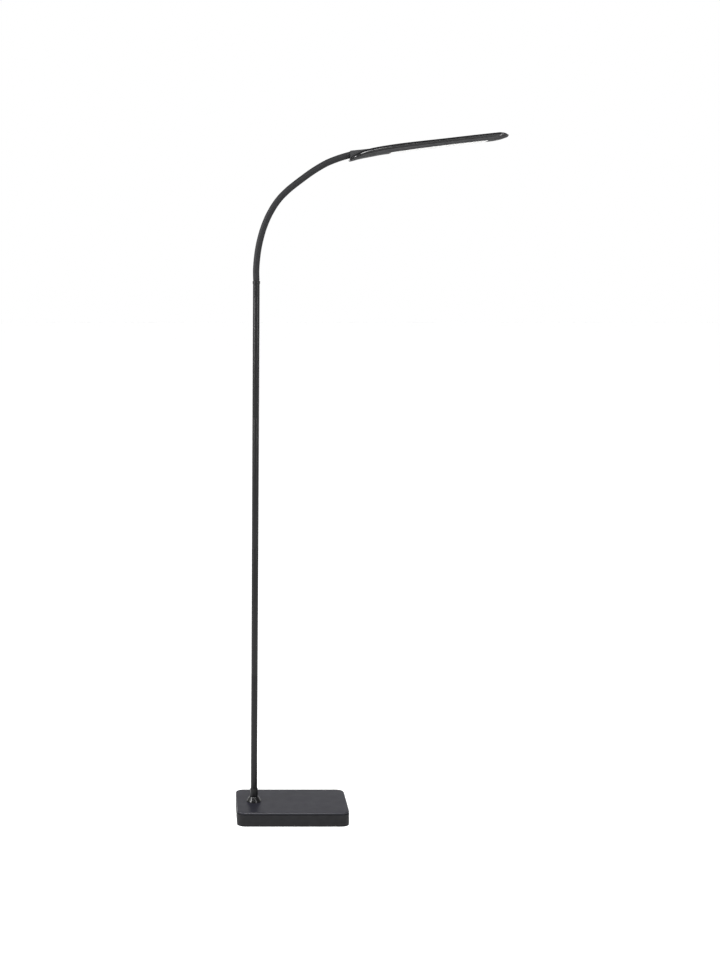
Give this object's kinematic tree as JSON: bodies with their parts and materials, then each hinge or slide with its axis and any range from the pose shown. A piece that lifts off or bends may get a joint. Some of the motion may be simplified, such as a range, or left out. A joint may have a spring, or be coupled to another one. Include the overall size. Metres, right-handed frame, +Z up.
{
  "type": "gooseneck floor lamp",
  "caption": "Floor lamp with a weighted rectangular base, a slim screw-together pole, a flexible gooseneck and a thin blade-shaped light head.",
  "frame": {"origin": "on the pole's axis, at the floor", "axes": "+Z up along the pole; +X along the base's long side, the way the head points; +Y towards the back"},
  "size_m": [0.625, 0.18, 1.6421],
  "materials": {
    "foam": "soft matte foam",
    "black_plastic": "moulded, satin",
    "satin_black": "fine-grained satin",
    "ballast": "plain plate",
    "steel": "zinc plated",
    "black_lacquer": "satin lacquer",
    "inlet_plastic": "moulded",
    "brass": "turned",
    "lead_rubber": "matte jacket",
    "neck_rubber": "smooth silicone sleeve",
    "head_plastic": "moulded, satin",
    "diffuser_white": "opal, smooth",
    "aluminium": "rolled sheet",
    "board": "white solder mask",
    "chip": "phosphor"
  },
  "bodies": {
    "stand": {"base_pad": "foam", "base_tub": "black_plastic", "base_lid": "satin_black", "base_weight": "ballast", "lid_screws": "steel", "weight_screws": "steel", "pole_stud": "steel", "stud_washer": "steel", "stud_nut": "steel", "base_collar": "black_lacquer", "foot_sleeve": "black_lacquer", "dc_inlet": "inlet_plastic", "inlet_nut": "steel", "pole_tube_1": "black_lacquer", "pole_tube_2": "black_lacquer", "pole_tube_3": "black_lacquer", "pole_tube_4": "black_lacquer", "stud_inserts": "steel", "nut_inserts": "brass", "insert_pins": "steel", "neck_ferrule": "black_lacquer", "supply_lead": "lead_rubber"},
    "neck_link_01": {"neck_core_01": "steel", "neck_sleeve_01": "neck_rubber"},
    "neck_link_02": {"neck_core_02": "steel", "neck_sleeve_02": "neck_rubber"},
    "neck_link_03": {"neck_core_03": "steel", "neck_sleeve_03": "neck_rubber"},
    "neck_link_04": {"neck_core_04": "steel", "neck_sleeve_04": "neck_rubber"},
    "neck_link_05": {"neck_core_05": "steel", "neck_sleeve_05": "neck_rubber"},
    "neck_link_06": {"neck_core_06": "steel", "neck_sleeve_06": "neck_rubber"},
    "neck_link_07": {"neck_core_07": "steel", "neck_sleeve_07": "neck_rubber"},
    "neck_link_08": {"neck_core_08": "steel", "neck_sleeve_08": "neck_rubber"},
    "neck_link_09": {"neck_core_09": "steel", "neck_sleeve_09": "neck_rubber"},
    "neck_link_10": {"neck_core_10": "steel", "neck_sleeve_10": "neck_rubber"},
    "neck_link_11": {"neck_core_11": "steel", "neck_sleeve_11": "neck_rubber"},
    "head": {"neck_core_12": "steel", "neck_sleeve_12": "neck_rubber", "head_connector": "head_plastic", "connector_screws": "steel", "head_shell": "head_plastic", "head_frame": "head_plastic", "head_diffuser": "diffuser_white", "heat_plate": "aluminium", "led_board": "board", "led_chips": "chip", "control_board": "board", "touch_pad": "brass", "head_screws": "steel"}
  },
  "joints": [
    {"name": "neck_bend_01", "type": "hinge", "parent": "stand", "child": "neck_link_01", "pos_m": [0, 0, 1.30079], "axis": [0.0005, 1, 0.0003], "range_deg": [-24, 24], "deforming": ["supply_lead"]},
    {"name": "neck_bend_02", "type": "hinge", "parent": "neck_link_01", "child": "neck_link_02", "pos_m": [0, 0, 1.33389], "axis": [0.0005, 1, 0.0003], "range_deg": [-32.5, 15.5]},
    {"name": "neck_swing_03", "type": "hinge", "parent": "neck_link_02", "child": "neck_link_03", "pos_m": [0.00489, 0, 1.36663], "axis": [-0.989, 0, 0.1478], "range_deg": [-24, 24]},
    {"name": "neck_bend_04", "type": "hinge", "parent": "neck_link_03", "child": "neck_link_04", "pos_m": [0.00979, 0, 1.39937], "axis": [0.0005, 1, 0.0003], "range_deg": [-32, 16]},
    {"name": "neck_bend_05", "type": "hinge", "parent": "neck_link_04", "child": "neck_link_05", "pos_m": [0.01919, 0, 1.4311], "axis": [0.0005, 1, 0.0003], "range_deg": [-36, 12]},
    {"name": "neck_swing_06", "type": "hinge", "parent": "neck_link_05", "child": "neck_link_06", "pos_m": [0.03498, 0, 1.46019], "axis": [-0.8788, 0, 0.4772], "range_deg": [-24, 24]},
    {"name": "neck_bend_07", "type": "hinge", "parent": "neck_link_06", "child": "neck_link_07", "pos_m": [0.05077, 0, 1.48928], "axis": [0.0005, 1, 0.0003], "range_deg": [-41, 7]},
    {"name": "neck_bend_08", "type": "hinge", "parent": "neck_link_07", "child": "neck_link_08", "pos_m": [0.07438, 0, 1.51248], "axis": [0.0005, 1, 0.0003], "range_deg": [-32.5, 15.5]},
    {"name": "neck_swing_09", "type": "hinge", "parent": "neck_link_08", "child": "neck_link_09", "pos_m": [0.10116, 0, 1.53194], "axis": [-0.5878, 0, 0.809], "range_deg": [-24, 24]},
    {"name": "neck_bend_10", "type": "hinge", "parent": "neck_link_09", "child": "neck_link_10", "pos_m": [0.12794, 0, 1.55139], "axis": [0.0005, 1, 0.0003], "range_deg": [-29, 19]},
    {"name": "neck_bend_11", "type": "hinge", "parent": "neck_link_10", "child": "neck_link_11", "pos_m": [0.15631, 0, 1.56844], "axis": [0.0005, 1, 0.0003], "range_deg": [-37, 11]},
    {"name": "neck_swing_12", "type": "hinge", "parent": "neck_link_11", "child": "head", "pos_m": [0.18779, 0, 1.57867], "axis": [-0.309, 0, 0.9511], "range_deg": [-24, 24]}
  ]
}
